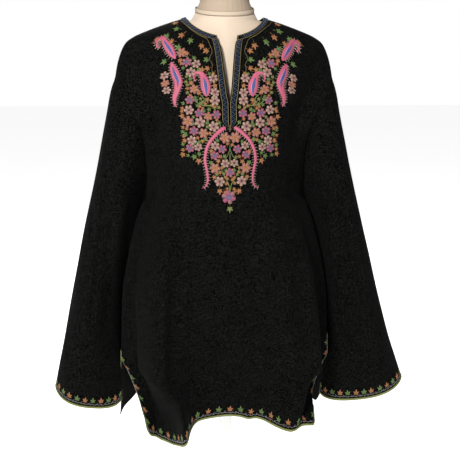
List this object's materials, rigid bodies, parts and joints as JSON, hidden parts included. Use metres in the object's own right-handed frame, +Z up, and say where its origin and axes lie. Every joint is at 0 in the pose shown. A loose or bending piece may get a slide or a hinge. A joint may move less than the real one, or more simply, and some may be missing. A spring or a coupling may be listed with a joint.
{
  "type": "pullover tunic top on dress form",
  "caption": "Wide hip-length pullover tunic of black wool with long straight sleeves, side slits and a banded neck slit, worn by a limbless dress form on a round base.",
  "frame": {"origin": "centre of the underside of the round base, on the floor", "axes": "+Z up the pole to the neck, the wearer faces -Y, +X is the wearer's left"},
  "size_m": [0.7002, 0.315, 1.072],
  "materials": {
    "black_wool": "soft napped twill",
    "band_wool": "wool covered with couched thread",
    "form_cover": "smooth cotton jersey over a hard form",
    "form_neck_cover": "plain linen",
    "stand_paint": "satin white"
  },
  "bodies": {
    "root": {"front_panel": "black_wool", "back_panel": "black_wool", "sleeve_right": "black_wool", "sleeve_left": "black_wool", "neck_band": "band_wool", "form_torso": "form_cover", "form_neck": "form_neck_cover", "form_pole": "stand_paint", "form_base": "stand_paint"}
  },
  "joints": []
}
